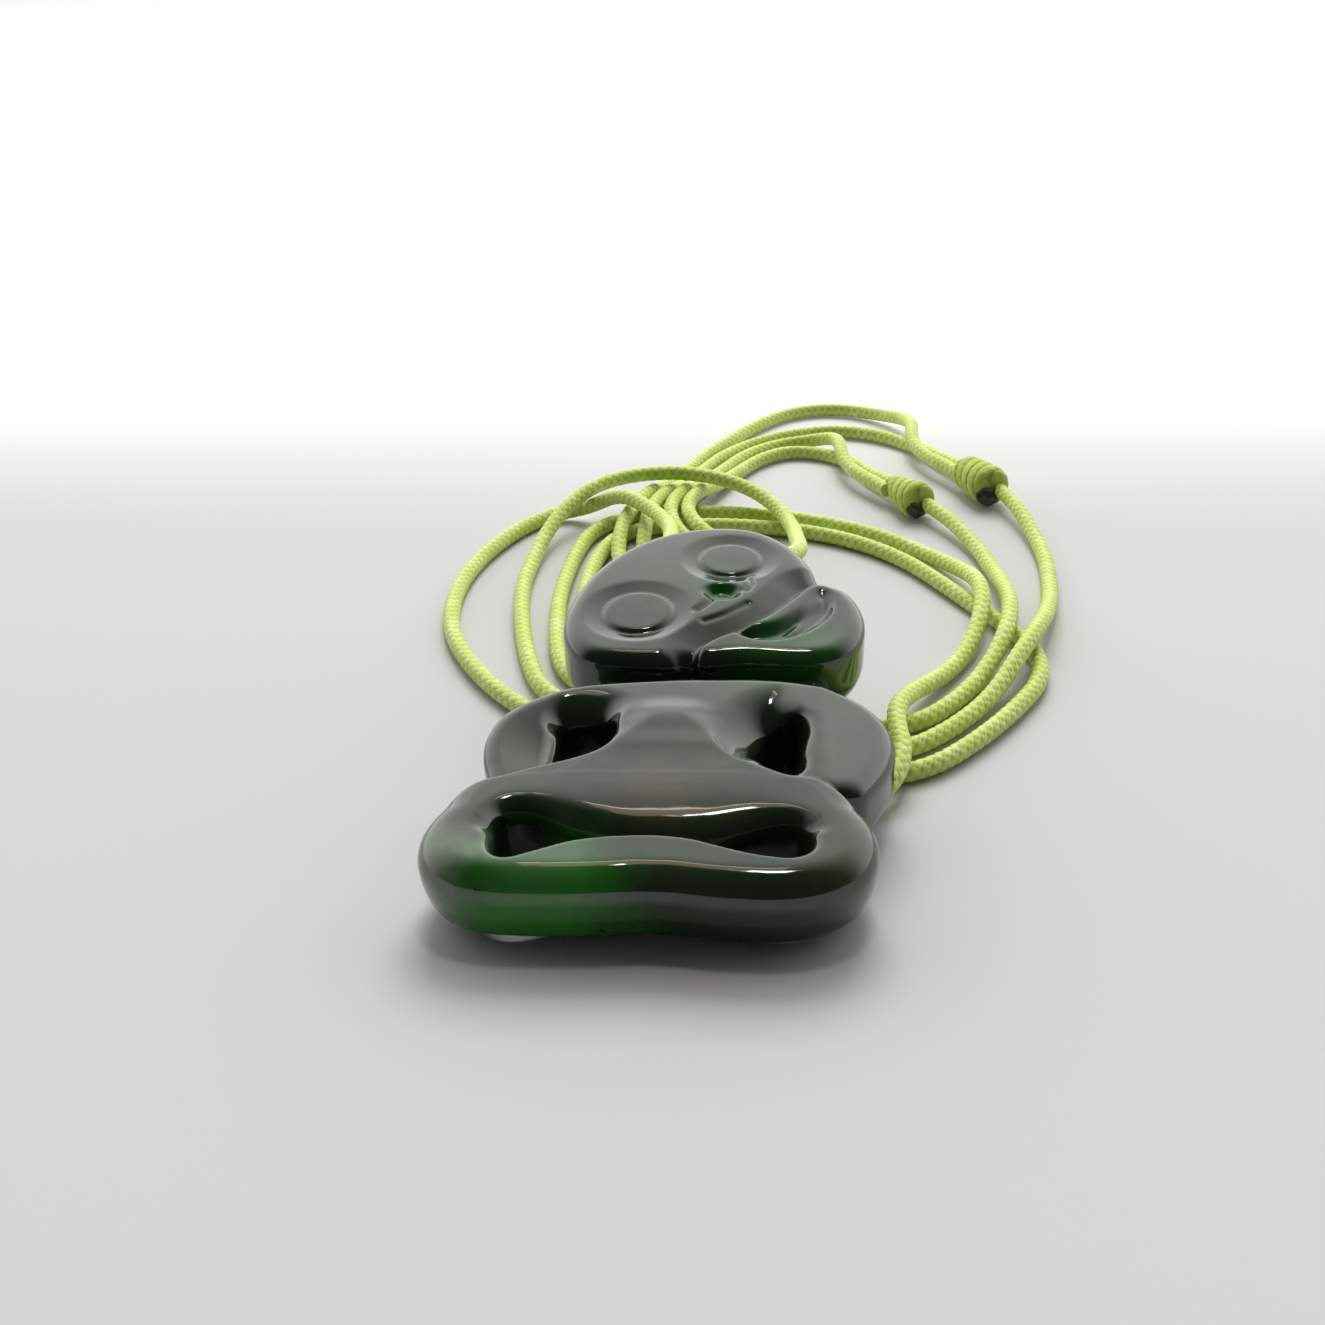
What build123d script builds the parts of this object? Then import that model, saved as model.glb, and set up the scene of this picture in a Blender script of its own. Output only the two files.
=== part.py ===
from build123d import *
import math
import os

os.makedirs("parts", exist_ok=True)

# A carved stone figure about 62 mm long, lying on its back on a surface with its head end
# propped on the 2 mm cord that it hangs from. X runs across the figure, Y from its legs to
# its crown, Z up. The origin is on the surface, under the middle of the figure.

# Stone: overall sizes in the figure's own plane
leg_width = 39.4
leg_length = 15.6
shoulder_width = 38.7
shoulder_length = 19.9
head_width = 30.6
head_length = 27.4
neck_width = 22.0
neck_gap = 2.4
neck_overlap = 3.0
slab = 8.6
arm_slab = 8.2
neck_slab = 4.6
lean = 7.0

# Stone: where each form starts, across and along the figure. The arms reach down over the
# hips, and the trunk ends just inside the top of the shoulders.
shoulder_across = 3.05
hip_overlap = 3.6
trunk_inset = 0.1
head_across = 5.1
neck_across = 4.5
shoulder_along = leg_length - hip_overlap
trunk_length = shoulder_along + shoulder_length - trunk_inset

# Stone: rounded edges
leg_round = 3.3
trunk_round = 1.2
arm_round = 1.7
head_round = 2.4
under_round = 2.2

# Pierced work: the slot leaves a bar of stone on each side of it
slot_width = 32.6
slot_across = 0.3
leg_bar = 3.6
hip_bar = 4.2
slot_length = leg_length - leg_bar - hip_bar
slot_flare = 1.0
flare_depth = 1.6
bridge_width = 9.0
bridge_across = 2.0
bridge_slab = 3.4
web_recess = 0.4
left_hole_width = 11.0
left_hole_length = 10.8
right_hole_width = 11.4
right_hole_length = 12.4
hole_taper = 0.66
hole_shift = 2.0

# Carved face
eye_radius = 5.3
pupil_radius = 3.3
eye_depth = 0.9
eye_hollow = 0.63
nose_radius = 2.0
nose_depth = 1.3
lip_radius = 0.9
mouth_radius = 1.4
mouth_depth = 1.1

# Cord, and the sliding knots that each end of it ties round the other half
cord = 2.0
bore_play = 0.3
bore_height = 4.3
outer_knot_length = 8.0
outer_knot_width = 5.4
inner_knot_length = 7.6
inner_knot_width = 4.9
knot_round = 1.3
knot_play = 0.35
knot_wall = 0.4
strand_gap = 0.1
tail_lead = 5.0
arc_share = 0.45

# Where the figure lies: its lower rim touches the surface, and the origin is under its middle.
lean_angle = math.radians(lean)
rise, run = math.sin(lean_angle), math.cos(lean_angle)
head_along = shoulder_along + shoulder_length + neck_gap
crown = head_along + head_length
crown_reach = (crown - under_round) * run - under_round * rise + under_round
leg_reach = leg_round * run - (slab - leg_round) * rise - leg_round
figure_along = -(crown_reach + leg_reach) / 2
figure_across = -(shoulder_across + shoulder_width / 2 - leg_width / 2) / 2
rest_drop = under_round * (run + rise - 1)
figure_plane = Plane(
    origin=(figure_across, figure_along, -rest_drop),
    x_dir=(1, 0, 0),
    z_dir=(0, -rise, run),
)
stone_axis = Axis(figure_plane.origin, figure_plane.z_dir)
clear = 1.0

# Outlines. Each row is (across, along): across as a share of the form's half width, along as
# a share of its length.
LEG_ROWS = [
    (0.35, 0.00), (0.68, 0.00), (0.90, 0.14), (1.00, 0.36), (1.00, 0.60), (0.88, 0.84),
    (0.62, 1.00), (-0.62, 1.00), (-0.88, 0.84), (-1.00, 0.58), (-1.00, 0.32), (-0.88, 0.12),
    (-0.68, 0.03), (-0.25, 0.03), (0.06, 0.07),
]
TRUNK_ROWS = [
    (-0.46, 0.20), (0.51, 0.19), (0.81, 0.30), (0.78, 0.42), (0.53, 0.50), (0.35, 0.57),
    (0.27, 0.65), (0.27, 0.73), (0.38, 0.83), (0.59, 0.89), (0.57, 0.97), (0.17, 1.00),
    (-0.35, 0.96), (-0.39, 0.87), (-0.22, 0.83), (-0.13, 0.76), (-0.13, 0.68), (-0.22, 0.60),
    (-0.39, 0.54), (-0.62, 0.49), (-0.81, 0.41), (-0.81, 0.28),
]
SHOULDER_ROWS = [
    (-0.71, 0.00), (0.75, 0.01), (0.91, 0.25), (1.00, 0.48), (1.00, 0.67), (0.89, 0.83),
    (0.60, 0.95), (0.23, 1.00), (-0.13, 1.00), (-0.49, 0.95), (-0.79, 0.86), (-0.96, 0.71),
    (-1.00, 0.54), (-1.00, 0.39), (-0.94, 0.22), (-0.91, 0.03),
]
HEAD_ROWS = [
    (-0.76, 0.01), (0.45, 0.00), (0.82, 0.03), (0.97, 0.16), (1.00, 0.27), (1.00, 0.38),
    (0.92, 0.51), (0.77, 0.64), (0.69, 0.76), (0.57, 0.89), (0.35, 0.98), (0.19, 1.00),
    (-0.07, 1.00), (-0.33, 0.96), (-0.65, 0.84), (-0.87, 0.64), (-1.00, 0.38), (-1.00, 0.22),
    (-0.93, 0.09),
]
SLOT_ROWS = [
    (-0.96, 0.13), (-0.83, 0.04), (-0.62, 0.20), (-0.39, 0.37), (0.10, 0.38), (0.35, 0.23),
    (0.60, 0.02), (0.82, 0.00), (0.99, 0.23), (1.00, 0.59), (0.88, 0.87), (0.66, 0.90),
    (0.41, 0.72), (0.19, 0.64), (-0.08, 0.74), (-0.39, 0.95), (-0.75, 1.00), (-0.94, 0.77),
    (-1.00, 0.44),
]
# The arm holes' rows run along from the hole's middle, which is placed by shares of the
# shoulders' half width and length.
LEFT_HOLE_PLACE = (-0.58, 0.43)
RIGHT_HOLE_PLACE = (0.40, 0.49)
LEFT_HOLE_ROWS = [
    (0.98, 0.20), (0.94, 0.04), (0.66, -0.16), (0.08, -0.33), (-0.58, -0.48), (-0.94, -0.41),
    (-1.00, -0.04), (-0.80, 0.32), (-0.26, 0.50), (0.46, 0.49), (0.86, 0.37),
]
RIGHT_HOLE_ROWS = [
    (-1.00, -0.06), (-0.90, 0.23), (-0.42, 0.44), (0.28, 0.50), (0.90, 0.39), (1.00, 0.11),
    (0.74, -0.23), (0.38, -0.48), (-0.16, -0.50), (-0.73, -0.34),
]
# The face, in shares of the head's half width and length. A groove's row may add its depth
# below the surface, as a share of the groove's radius.
EYE_PLACES = [(-0.49, 0.32), (0.10, 0.71)]
NOSE_PLACE = (0.05, 0.48)
LIP_ROWS = [
    (0.88, 0.62, 0.8), (0.60, 0.52, 0.0), (0.44, 0.44, 0.0), (0.29, 0.33, 0.0),
    (0.14, 0.24, 0.0), (-0.04, 0.16, 0.0), (-0.14, 0.07, 0.4), (-0.16, -0.07, 1.2),
]
MOUTH_ROWS = [(0.23, 0.20), (0.42, 0.20), (0.61, 0.25), (0.73, 0.35), (0.77, 0.46)]
# The tunnel through the crown, from its middle to each mouth.
BORE_RIGHT_ROWS = [(0.14, 0.81), (0.28, 0.81), (0.48, 0.87), (0.62, 0.96)]
BORE_LEFT_ROWS = [(0.14, 0.81), (0.01, 0.81), (-0.19, 0.88), (-0.33, 1.00)]

# Cord routes: points along the middle of the cord after it leaves the crown, in millimetres
RIGHT_ROUTE = [
    (14.2, 33.8, 10.6), (13.8, 40.4, 8.8), (13.6, 47.6, 6.8), (13.7, 54.8, 4.8),
    (13.3, 61.6, 3.4), (11.8, 67.0, 3.6), (8.6, 71.8, 4.4), (3.8, 75.2, 5.1),
    (-2.4, 77.2, 5.3), (-8.6, 76.6, 5.1), (-13.6, 72.8, 5.0), (-17.0, 67.8, 4.0),
    (-19.2, 62.0, 2.6), (-20.3, 56.0, 1.4), (-20.9, 48.2, 1.05), (-20.4, 40.2, 1.05),
    (-19.2, 32.4, 1.05), (-17.6, 24.6, 1.05), (-15.4, 17.4, 1.05), (-10.8, 12.2, 1.05),
    (-3.8, 9.0, 1.05), (4.2, 5.6, 1.05), (12.4, 1.0, 1.05), (19.2, -1.8, 1.05),
    (25.4, 0.2, 1.05), (31.0, 6.2, 1.05), (36.0, 13.2, 1.05), (39.8, 20.0, 1.05),
    (40.4, 26.8, 1.05), (38.2, 33.6, 1.05), (34.8, 40.4, 1.05), (31.6, 47.4, 1.05),
    (28.0, 54.4, 1.05), (22.8, 60.4, 1.05), (16.6, 64.4, 1.05), (9.4, 66.6, 1.05),
    (2.2, 67.4, 1.05), (-5.0, 66.8, 1.05), (-10.0, 63.4, 1.05), (-11.9, 57.2, 1.05),
    (-12.7, 50.0, 1.05), (-12.9, 42.4, 1.05), (-12.2, 34.8, 1.05), (-11.0, 27.6, 1.05),
    (-7.0, 21.8, 1.05), (-0.6, 17.8, 1.05), (6.4, 14.4, 1.05), (13.0, 10.8, 1.05),
    (19.2, 8.4, 1.05), (25.0, 9.6, 1.05), (29.8, 14.8, 1.05), (33.8, 21.2, 1.5),
    (37.0, 28.0, 3.2), (38.6, 35.6, 3.3), (38.9, 43.4, 2.2), (38.7, 51.0, 1.2),
    (37.7, 58.4, 1.3), (35.4, 65.6, 2.0), (32.5, 71.4, 2.45), (28.9, 79.2, 2.45),
    (26.0, 85.6, 1.7), (24.0, 92.2, 1.05), (19.8, 97.2, 1.05), (14.2, 98.7, 1.05),
    (9.6, 94.8, 1.05), (6.2, 88.6, 1.05), (3.6, 82.0, 1.6), (0.8, 75.2, 3.3),
    (-1.0, 68.2, 3.3), (0.9, 61.8, 2.9), (5.6, 57.4, 1.1), (8.4, 51.4, 1.05),
    (5.0, 45.6, 1.05), (-1.6, 44.0, 1.05), (-7.4, 47.8, 1.05), (-9.4, 54.2, 1.4),
    (-9.4, 60.4, 3.0), (-8.5, 67.0, 3.3), (-6.5, 74.0, 3.3), (-3.9, 81.6, 1.8),
    (-1.7, 88.6, 1.05), (1.1, 96.2, 1.05), (5.2, 104.2, 1.05), (9.6, 112.0, 1.05),
    (15.0, 118.6, 1.05), (22.4, 120.6, 1.05), (29.6, 117.2, 1.05), (35.0, 110.8, 1.05),
    (38.4, 103.4, 1.05), (39.9, 96.2, 1.5),
]
LEFT_ROUTE = [
    (-2.0, 35.0, 10.4), (-1.9, 42.0, 8.8), (-2.0, 49.0, 7.2), (-3.0, 56.0, 6.0),
    (-6.0, 62.6, 5.7), (-9.8, 67.6, 5.6), (-14.6, 72.0, 1.9), (-19.4, 71.8, 1.05),
    (-22.8, 67.6, 1.05), (-25.6, 61.6, 1.05), (-27.8, 54.6, 1.05), (-28.9, 47.0, 1.05),
    (-28.9, 39.4, 1.05), (-27.6, 31.8, 1.05), (-24.6, 24.4, 1.05), (-20.4, 17.2, 1.05),
    (-14.8, 10.6, 1.05), (-7.8, 5.2, 1.05), (0.4, 0.8, 1.05), (8.6, -3.4, 1.05),
    (14.8, -6.9, 1.05), (19.0, -7.0, 1.4), (21.7, -4.0, 2.7), (22.7, 0.4, 3.45),
    (22.4, 4.6, 3.4), (22.8, 9.6, 3.4), (25.4, 15.2, 2.2), (29.6, 21.4, 1.05),
    (33.2, 28.4, 1.4), (35.4, 35.6, 3.2), (35.8, 42.8, 3.3), (34.2, 49.8, 1.9),
    (31.0, 56.4, 1.05), (26.2, 62.4, 1.05), (20.0, 67.0, 1.05), (13.0, 70.2, 1.05),
    (5.6, 72.0, 1.05), (-2.0, 72.2, 1.05), (-9.2, 70.6, 1.05), (-13.6, 65.2, 1.05),
    (-15.0, 57.8, 1.05), (-15.6, 50.0, 1.05), (-15.8, 42.0, 1.05), (-15.3, 34.2, 1.05),
    (-14.5, 26.6, 1.05), (-12.4, 19.6, 1.05), (-6.0, 15.0, 1.05), (1.8, 11.4, 1.05),
    (9.6, 7.6, 1.05), (17.0, 3.8, 1.05), (23.4, 3.8, 1.05), (28.8, 8.8, 1.05),
    (33.8, 15.4, 1.4), (37.6, 22.4, 3.2), (41.0, 29.6, 3.3), (43.4, 37.2, 2.0),
    (45.0, 45.2, 1.05), (46.0, 53.4, 1.05), (46.0, 61.6, 1.2), (44.9, 69.6, 2.3),
    (43.4, 76.0, 2.7), (40.0, 85.0, 2.7), (37.2, 92.2, 1.8), (34.4, 99.4, 1.05),
    (29.4, 105.8, 1.05), (22.4, 109.0, 1.05), (15.0, 107.0, 1.05), (8.4, 102.2, 1.05),
    (3.6, 95.6, 1.05), (0.6, 88.4, 1.05), (-1.5, 81.0, 1.8), (-4.2, 74.0, 3.3),
    (-5.8, 67.2, 3.3), (-6.2, 60.8, 2.9), (-6.2, 55.2, 1.4), (-4.2, 50.0, 1.05),
    (0.2, 47.8, 1.05), (4.0, 51.2, 1.05), (2.2, 56.6, 1.1), (-1.9, 61.2, 2.6),
    (-3.3, 67.8, 3.3), (-1.6, 75.0, 3.3), (1.2, 82.2, 1.6), (3.9, 89.2, 1.05),
    (7.2, 96.4, 1.05), (12.4, 101.4, 1.05), (19.4, 101.4, 1.05), (24.8, 97.4, 1.05),
    (27.2, 91.0, 1.3),
]
# The straight run of each route that a knot is tied round, by its first point
outer_run = LEFT_ROUTE.index((43.4, 76.0, 2.7))
inner_run = RIGHT_ROUTE.index((32.5, 71.4, 2.45))


def outline(rows, width, length, across, along):
    """The points of a table's closed outline, in the figure's plane."""
    return [(across + a * width / 2, along + b * length) for a, b in rows]


def bend_radii(points, closed=False):
    """A radius for each corner, which takes the same share of its shorter run at each."""
    route = [Vector(*point) for point in points]
    corners = range(len(route)) if closed else range(1, len(route) - 1)
    radii = []
    for i in corners:
        before = route[i] - route[i - 1]
        after = route[(i + 1) % len(route)] - route[i]
        half_turn = math.radians(before.get_angle(after)) / 2
        radii.append(arc_share * min(before.length, after.length) / math.tan(half_turn))
    return radii


def at_height(height):
    """The figure's plane, this far up through the stone."""
    return figure_plane.offset(height)


def slab_form(points, thick, top_round, base_round):
    """A slab of stone of this outline, with both rims rounded."""
    with BuildPart() as form:
        with BuildSketch(figure_plane):
            with BuildLine():
                FilletPolyline(*points, radius=bend_radii(points, closed=True), close=True)
            make_face()
        extrude(amount=thick)
        fillet(form.faces().sort_by(stone_axis)[-1].edges(), top_round)
        fillet(form.faces().sort_by(stone_axis)[0].edges(), base_round)
    return form.part


def funnel(upper, lower, top, base):
    """A cutter that runs from one outline at the top down to another at the base."""
    with BuildPart() as cutter:
        for points, height in ((lower, base), (upper, top)):
            with BuildSketch(at_height(height)):
                with BuildLine():
                    FilletPolyline(*points, radius=bend_radii(points, closed=True), close=True)
                make_face()
        loft(ruled=True)
    return cutter.part


def arm_hole(rows, width, length, place, shift):
    """A hole that narrows towards the waist on its way down through the arm."""
    across = shoulder_across + place[0] * shoulder_width / 2
    along = shoulder_along + place[1] * shoulder_length
    upper = outline(rows, width, length, across, along)
    lower = outline(rows, width * hole_taper, length * hole_taper, across + shift, along)
    return funnel(upper, lower, arm_slab + clear, -clear)


def tube(points, radius):
    """A round bar along straight runs joined by tangent arcs."""
    with BuildPart() as bar:
        with BuildLine() as path:
            FilletPolyline(*points, radius=bend_radii(points))
        with BuildSketch(Plane(origin=path.line @ 0, z_dir=path.line % 0)):
            Circle(radius)
        sweep(path=path.line)
    return bar.part


def head_point(across, along, height):
    """A point of the head, from shares of its width and length."""
    place = (head_across + across * head_width / 2, head_along + along * head_length, height)
    return figure_plane.from_local_coords(place)


# Knots: each is set round a straight run of one half, with the other half's end beside it.
def knot_frame(run, length, width):
    """A knot's plane, its bore's offset, and where the tied end meets it."""
    start, stop = Vector(*run[0]), Vector(*run[1])
    forward = (stop - start).normalized()
    side = forward.cross(Vector(0, 0, 1)).normalized()
    bore_side = width / 2 - knot_wall - cord / 2 - knot_play
    middle = (start + stop) / 2 + side * bore_side
    tail_side = cord + strand_gap - bore_side
    tail = middle + side * tail_side + forward * (length / 2)
    return Plane(origin=middle, x_dir=side, z_dir=forward), bore_side, tail, forward


outer_plane, outer_bore, outer_tail, outer_forward = knot_frame(
    LEFT_ROUTE[outer_run:outer_run + 2], outer_knot_length, outer_knot_width
)
inner_plane, inner_bore, inner_tail, inner_forward = knot_frame(
    RIGHT_ROUTE[inner_run:inner_run + 2], inner_knot_length, inner_knot_width
)
right_bore = [head_point(a, b, bore_height) for a, b in BORE_RIGHT_ROWS]
left_bore = [head_point(a, b, bore_height) for a, b in BORE_LEFT_ROWS]
right_path = right_bore + RIGHT_ROUTE + [outer_tail + outer_forward * tail_lead, outer_tail]
left_path = left_bore + LEFT_ROUTE + [inner_tail + inner_forward * tail_lead, inner_tail]

# Stone: the forms it is carved as
legs = slab_form(outline(LEG_ROWS, leg_width, leg_length, 0, 0), slab, leg_round, under_round)
trunk = slab_form(
    outline(TRUNK_ROWS, leg_width, trunk_length, 0, 0), slab, trunk_round, trunk_round
)
shoulders = slab_form(
    outline(SHOULDER_ROWS, shoulder_width, shoulder_length, shoulder_across, shoulder_along),
    arm_slab, arm_round, under_round,
)
head = slab_form(
    outline(HEAD_ROWS, head_width, head_length, head_across, head_along),
    slab, head_round, under_round,
)
left_hole = arm_hole(
    LEFT_HOLE_ROWS, left_hole_width, left_hole_length, LEFT_HOLE_PLACE, hole_shift
)
right_hole = arm_hole(
    RIGHT_HOLE_ROWS, right_hole_width, right_hole_length, RIGHT_HOLE_PLACE, -hole_shift
)
slot_points = outline(SLOT_ROWS, slot_width, slot_length, slot_across, leg_bar)
slot = funnel(slot_points, slot_points, slab + clear, -clear)
flare_points = outline(
    SLOT_ROWS, slot_width + 2 * slot_flare, slot_length + 2 * slot_flare,
    slot_across, leg_bar - slot_flare,
)
slot_rim = funnel(flare_points, slot_points, slab, slab - flare_depth)

# Stone: the face's grooves
lip_points = [head_point(a, b, slab - down * lip_radius) for a, b, down in LIP_ROWS]
lip = tube(lip_points, lip_radius)
mouth_height = slab + mouth_radius - mouth_depth
mouth_points = [head_point(a, b, mouth_height) for a, b in MOUTH_ROWS]
mouth = tube(mouth_points, mouth_radius)
crown_bore = tube(right_bore[:0:-1] + left_bore[1:], cord / 2 + bore_play)

with BuildPart() as eye:
    with BuildSketch(Plane.XZ):
        with BuildLine():
            Polyline(
                (eye_radius, 0), (eye_radius, clear), (pupil_radius, clear),
                (pupil_radius, -eye_depth),
            )
            ThreePointArc(
                (pupil_radius, -eye_depth),
                (pupil_radius + eye_hollow * (eye_radius - pupil_radius), -eye_depth * eye_hollow),
                (eye_radius, 0),
            )
        make_face()
    revolve(axis=Axis.Z)

with BuildPart() as tiki:
    add(shoulders)
    add([left_hole, right_hole], mode=Mode.SUBTRACT)
    add(legs)
    add(trunk)
    add([slot, slot_rim], mode=Mode.SUBTRACT)
    add(head)
    with BuildSketch(at_height(web_recess)):
        with Locations((bridge_across, leg_bar + slot_length / 2)):
            Rectangle(bridge_width, slot_length)
    extrude(amount=bridge_slab)
    with BuildSketch(at_height(web_recess)):
        with Locations((neck_across, head_along - neck_gap / 2)):
            Rectangle(neck_width, neck_gap + 2 * neck_overlap)
    extrude(amount=neck_slab)
    for a, b in EYE_PLACES:
        with Locations(Plane(origin=head_point(a, b, slab), z_dir=figure_plane.z_dir)):
            add(eye.part, mode=Mode.SUBTRACT)
    with Locations(head_point(*NOSE_PLACE, slab + nose_radius - nose_depth)):
        Sphere(nose_radius, mode=Mode.SUBTRACT)
    add([lip, mouth], mode=Mode.SUBTRACT)
    with Locations(mouth_points[0], mouth_points[-1]):
        Sphere(mouth_radius, mode=Mode.SUBTRACT)
    add(crown_bore, mode=Mode.SUBTRACT)
tiki.part.label = "tiki"
export_step(tiki.part, "parts/tiki.step")
print("tiki", tiki.part.volume, tiki.part.bounding_box(), len(tiki.part.solids()))


def cord_half(points, name):
    """One half of the cord, with its bends and its volume checked in print."""
    half = tube(points, cord / 2)
    half.label = name
    export_step(half, f"parts/{name}.step")
    radii = bend_radii(points)
    with BuildLine() as path:
        FilletPolyline(*points, radius=radii)
    length = sum(edge.length for edge in path.edges())
    wanted = math.pi * (cord / 2) ** 2 * length
    print(name, "length", length, "volume", half.volume, "section by length", wanted)
    print(name, "radii", [round(radius, 1) for radius in radii])


cord_half(right_path, "cord_right")
cord_half(left_path, "cord_left")


def slide_knot(plane, length, width, bore_side, name):
    """A wound barrel on the through strand, with rounded ends."""
    with BuildPart() as knot:
        with BuildSketch(plane.offset(-length / 2)):
            Circle(width / 2)
        extrude(amount=length)
        fillet(knot.edges(), knot_round)
        with BuildSketch(plane.offset(-length)):
            with Locations((-bore_side, 0)):
                Circle(cord / 2 + knot_play)
        extrude(amount=2 * length, mode=Mode.SUBTRACT)
    knot.part.label = name
    export_step(knot.part, f"parts/{name}.step")


slide_knot(outer_plane, outer_knot_length, outer_knot_width, outer_bore, "slide_knot_outer")
slide_knot(inner_plane, inner_knot_length, inner_knot_width, inner_bore, "slide_knot_inner")
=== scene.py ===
# %% [markdown]
# A carved green stone figure on a braided cord
#
# The figure lies on its back and leans by 7 degrees: beside its right arm it rests on the cord,
# whose strands pass under its shoulders. The measured model comes first: it is the frame that
# every piece is fitted to.

# %% Load the measured model
import math

import bpy
import numpy as np
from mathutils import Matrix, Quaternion, Vector


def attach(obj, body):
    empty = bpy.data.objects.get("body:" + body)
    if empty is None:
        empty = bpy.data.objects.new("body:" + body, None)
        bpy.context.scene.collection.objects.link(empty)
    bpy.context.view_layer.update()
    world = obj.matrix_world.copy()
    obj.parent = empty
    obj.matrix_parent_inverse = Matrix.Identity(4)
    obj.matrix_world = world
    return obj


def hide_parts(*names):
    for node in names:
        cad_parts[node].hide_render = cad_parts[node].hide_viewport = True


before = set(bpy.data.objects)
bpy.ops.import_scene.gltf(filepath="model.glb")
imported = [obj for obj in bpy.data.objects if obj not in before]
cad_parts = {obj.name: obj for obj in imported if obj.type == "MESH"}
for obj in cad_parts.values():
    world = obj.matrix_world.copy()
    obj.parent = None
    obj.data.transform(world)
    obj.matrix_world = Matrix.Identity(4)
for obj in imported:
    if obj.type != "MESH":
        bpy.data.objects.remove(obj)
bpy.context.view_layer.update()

mm = 0.001

# %% [markdown]
# Small helpers
#
# The cord, the knots and the stone are all worked out as points and faces. One helper makes an
# object of them, another closes a stack of rings to a skin, and the third is the soft step that
# most changes of shape are made with.

# %% Mesh helpers
def smooth_piece(name, points, faces):
    """A smooth-shaded object of these points, in metres, and faces."""
    mesh = bpy.data.meshes.new(name)
    mesh.from_pydata(points.tolist(), [], faces)
    mesh.update()
    for polygon in mesh.polygons:
        polygon.use_smooth = True
    piece = bpy.data.objects.new(name, mesh)
    bpy.context.scene.collection.objects.link(piece)
    return piece


def mesh_from_rings(name, rings):
    """Skins a stack of rings, each with the same number of points, and closes its ends.

    Each face's corners are taken in the order that makes it point outwards.
    """
    count, sides = rings.shape[:2]
    first = np.arange(count - 1)[:, None] * sides
    here = first + np.arange(sides)
    after = first + (np.arange(sides) + 1) % sides
    quads = np.stack([here, here + sides, after + sides, after], -1).reshape(-1, 4)
    start_cap = list(range(sides))
    end_cap = list(range((count - 1) * sides, count * sides))[::-1]
    return smooth_piece(name, rings.reshape(-1, 3), [*quads.tolist(), start_cap, end_cap])


def smooth_step(value, low, high):
    """Runs from 0 at low to 1 at high."""
    share = np.clip((value - low) / (high - low), 0, 1)
    return share * share * (3 - 2 * share)


# %% [markdown]
# The camera
#
# The photograph looks down at the figure from the leg end, 26 degrees above the table and
# turned 3 degrees to the left, from about 16 cm away.

# %% Camera
camera_place = (6.31 * mm, -138.94 * mm, 81.0 * mm)
camera_turn, camera_dip, camera_roll = (math.radians(angle) for angle in (3.0, 26.07, 1.26))
bpy.ops.object.camera_add(location=camera_place)
camera = bpy.context.object
camera.name = "photo_camera"
looking = Vector((
    -math.sin(camera_turn) * math.cos(camera_dip),
    math.cos(camera_turn) * math.cos(camera_dip),
    -math.sin(camera_dip),
))
camera.rotation_mode = "QUATERNION"
camera.rotation_quaternion = (
    looking.to_track_quat("-Z", "Y") @ Quaternion((0, 0, 1), -camera_roll)
)
camera.data.lens = 43.47
camera.data.sensor_width = 36.0
camera.data.clip_start = 0.005
bpy.context.scene.camera = camera
bpy.context.scene.view_settings.view_transform = "Standard"
print("camera", tuple(camera.location), camera.data.lens)

# %% [markdown]
# The routes of the two cord halves
#
# One cord runs through the crown. Each half leaves the crown's edge, goes under the shoulders
# and round again, and ends in a knot that is tied round the other half. The points are the
# control points of a smooth NURBS line, in millimetres.

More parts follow.
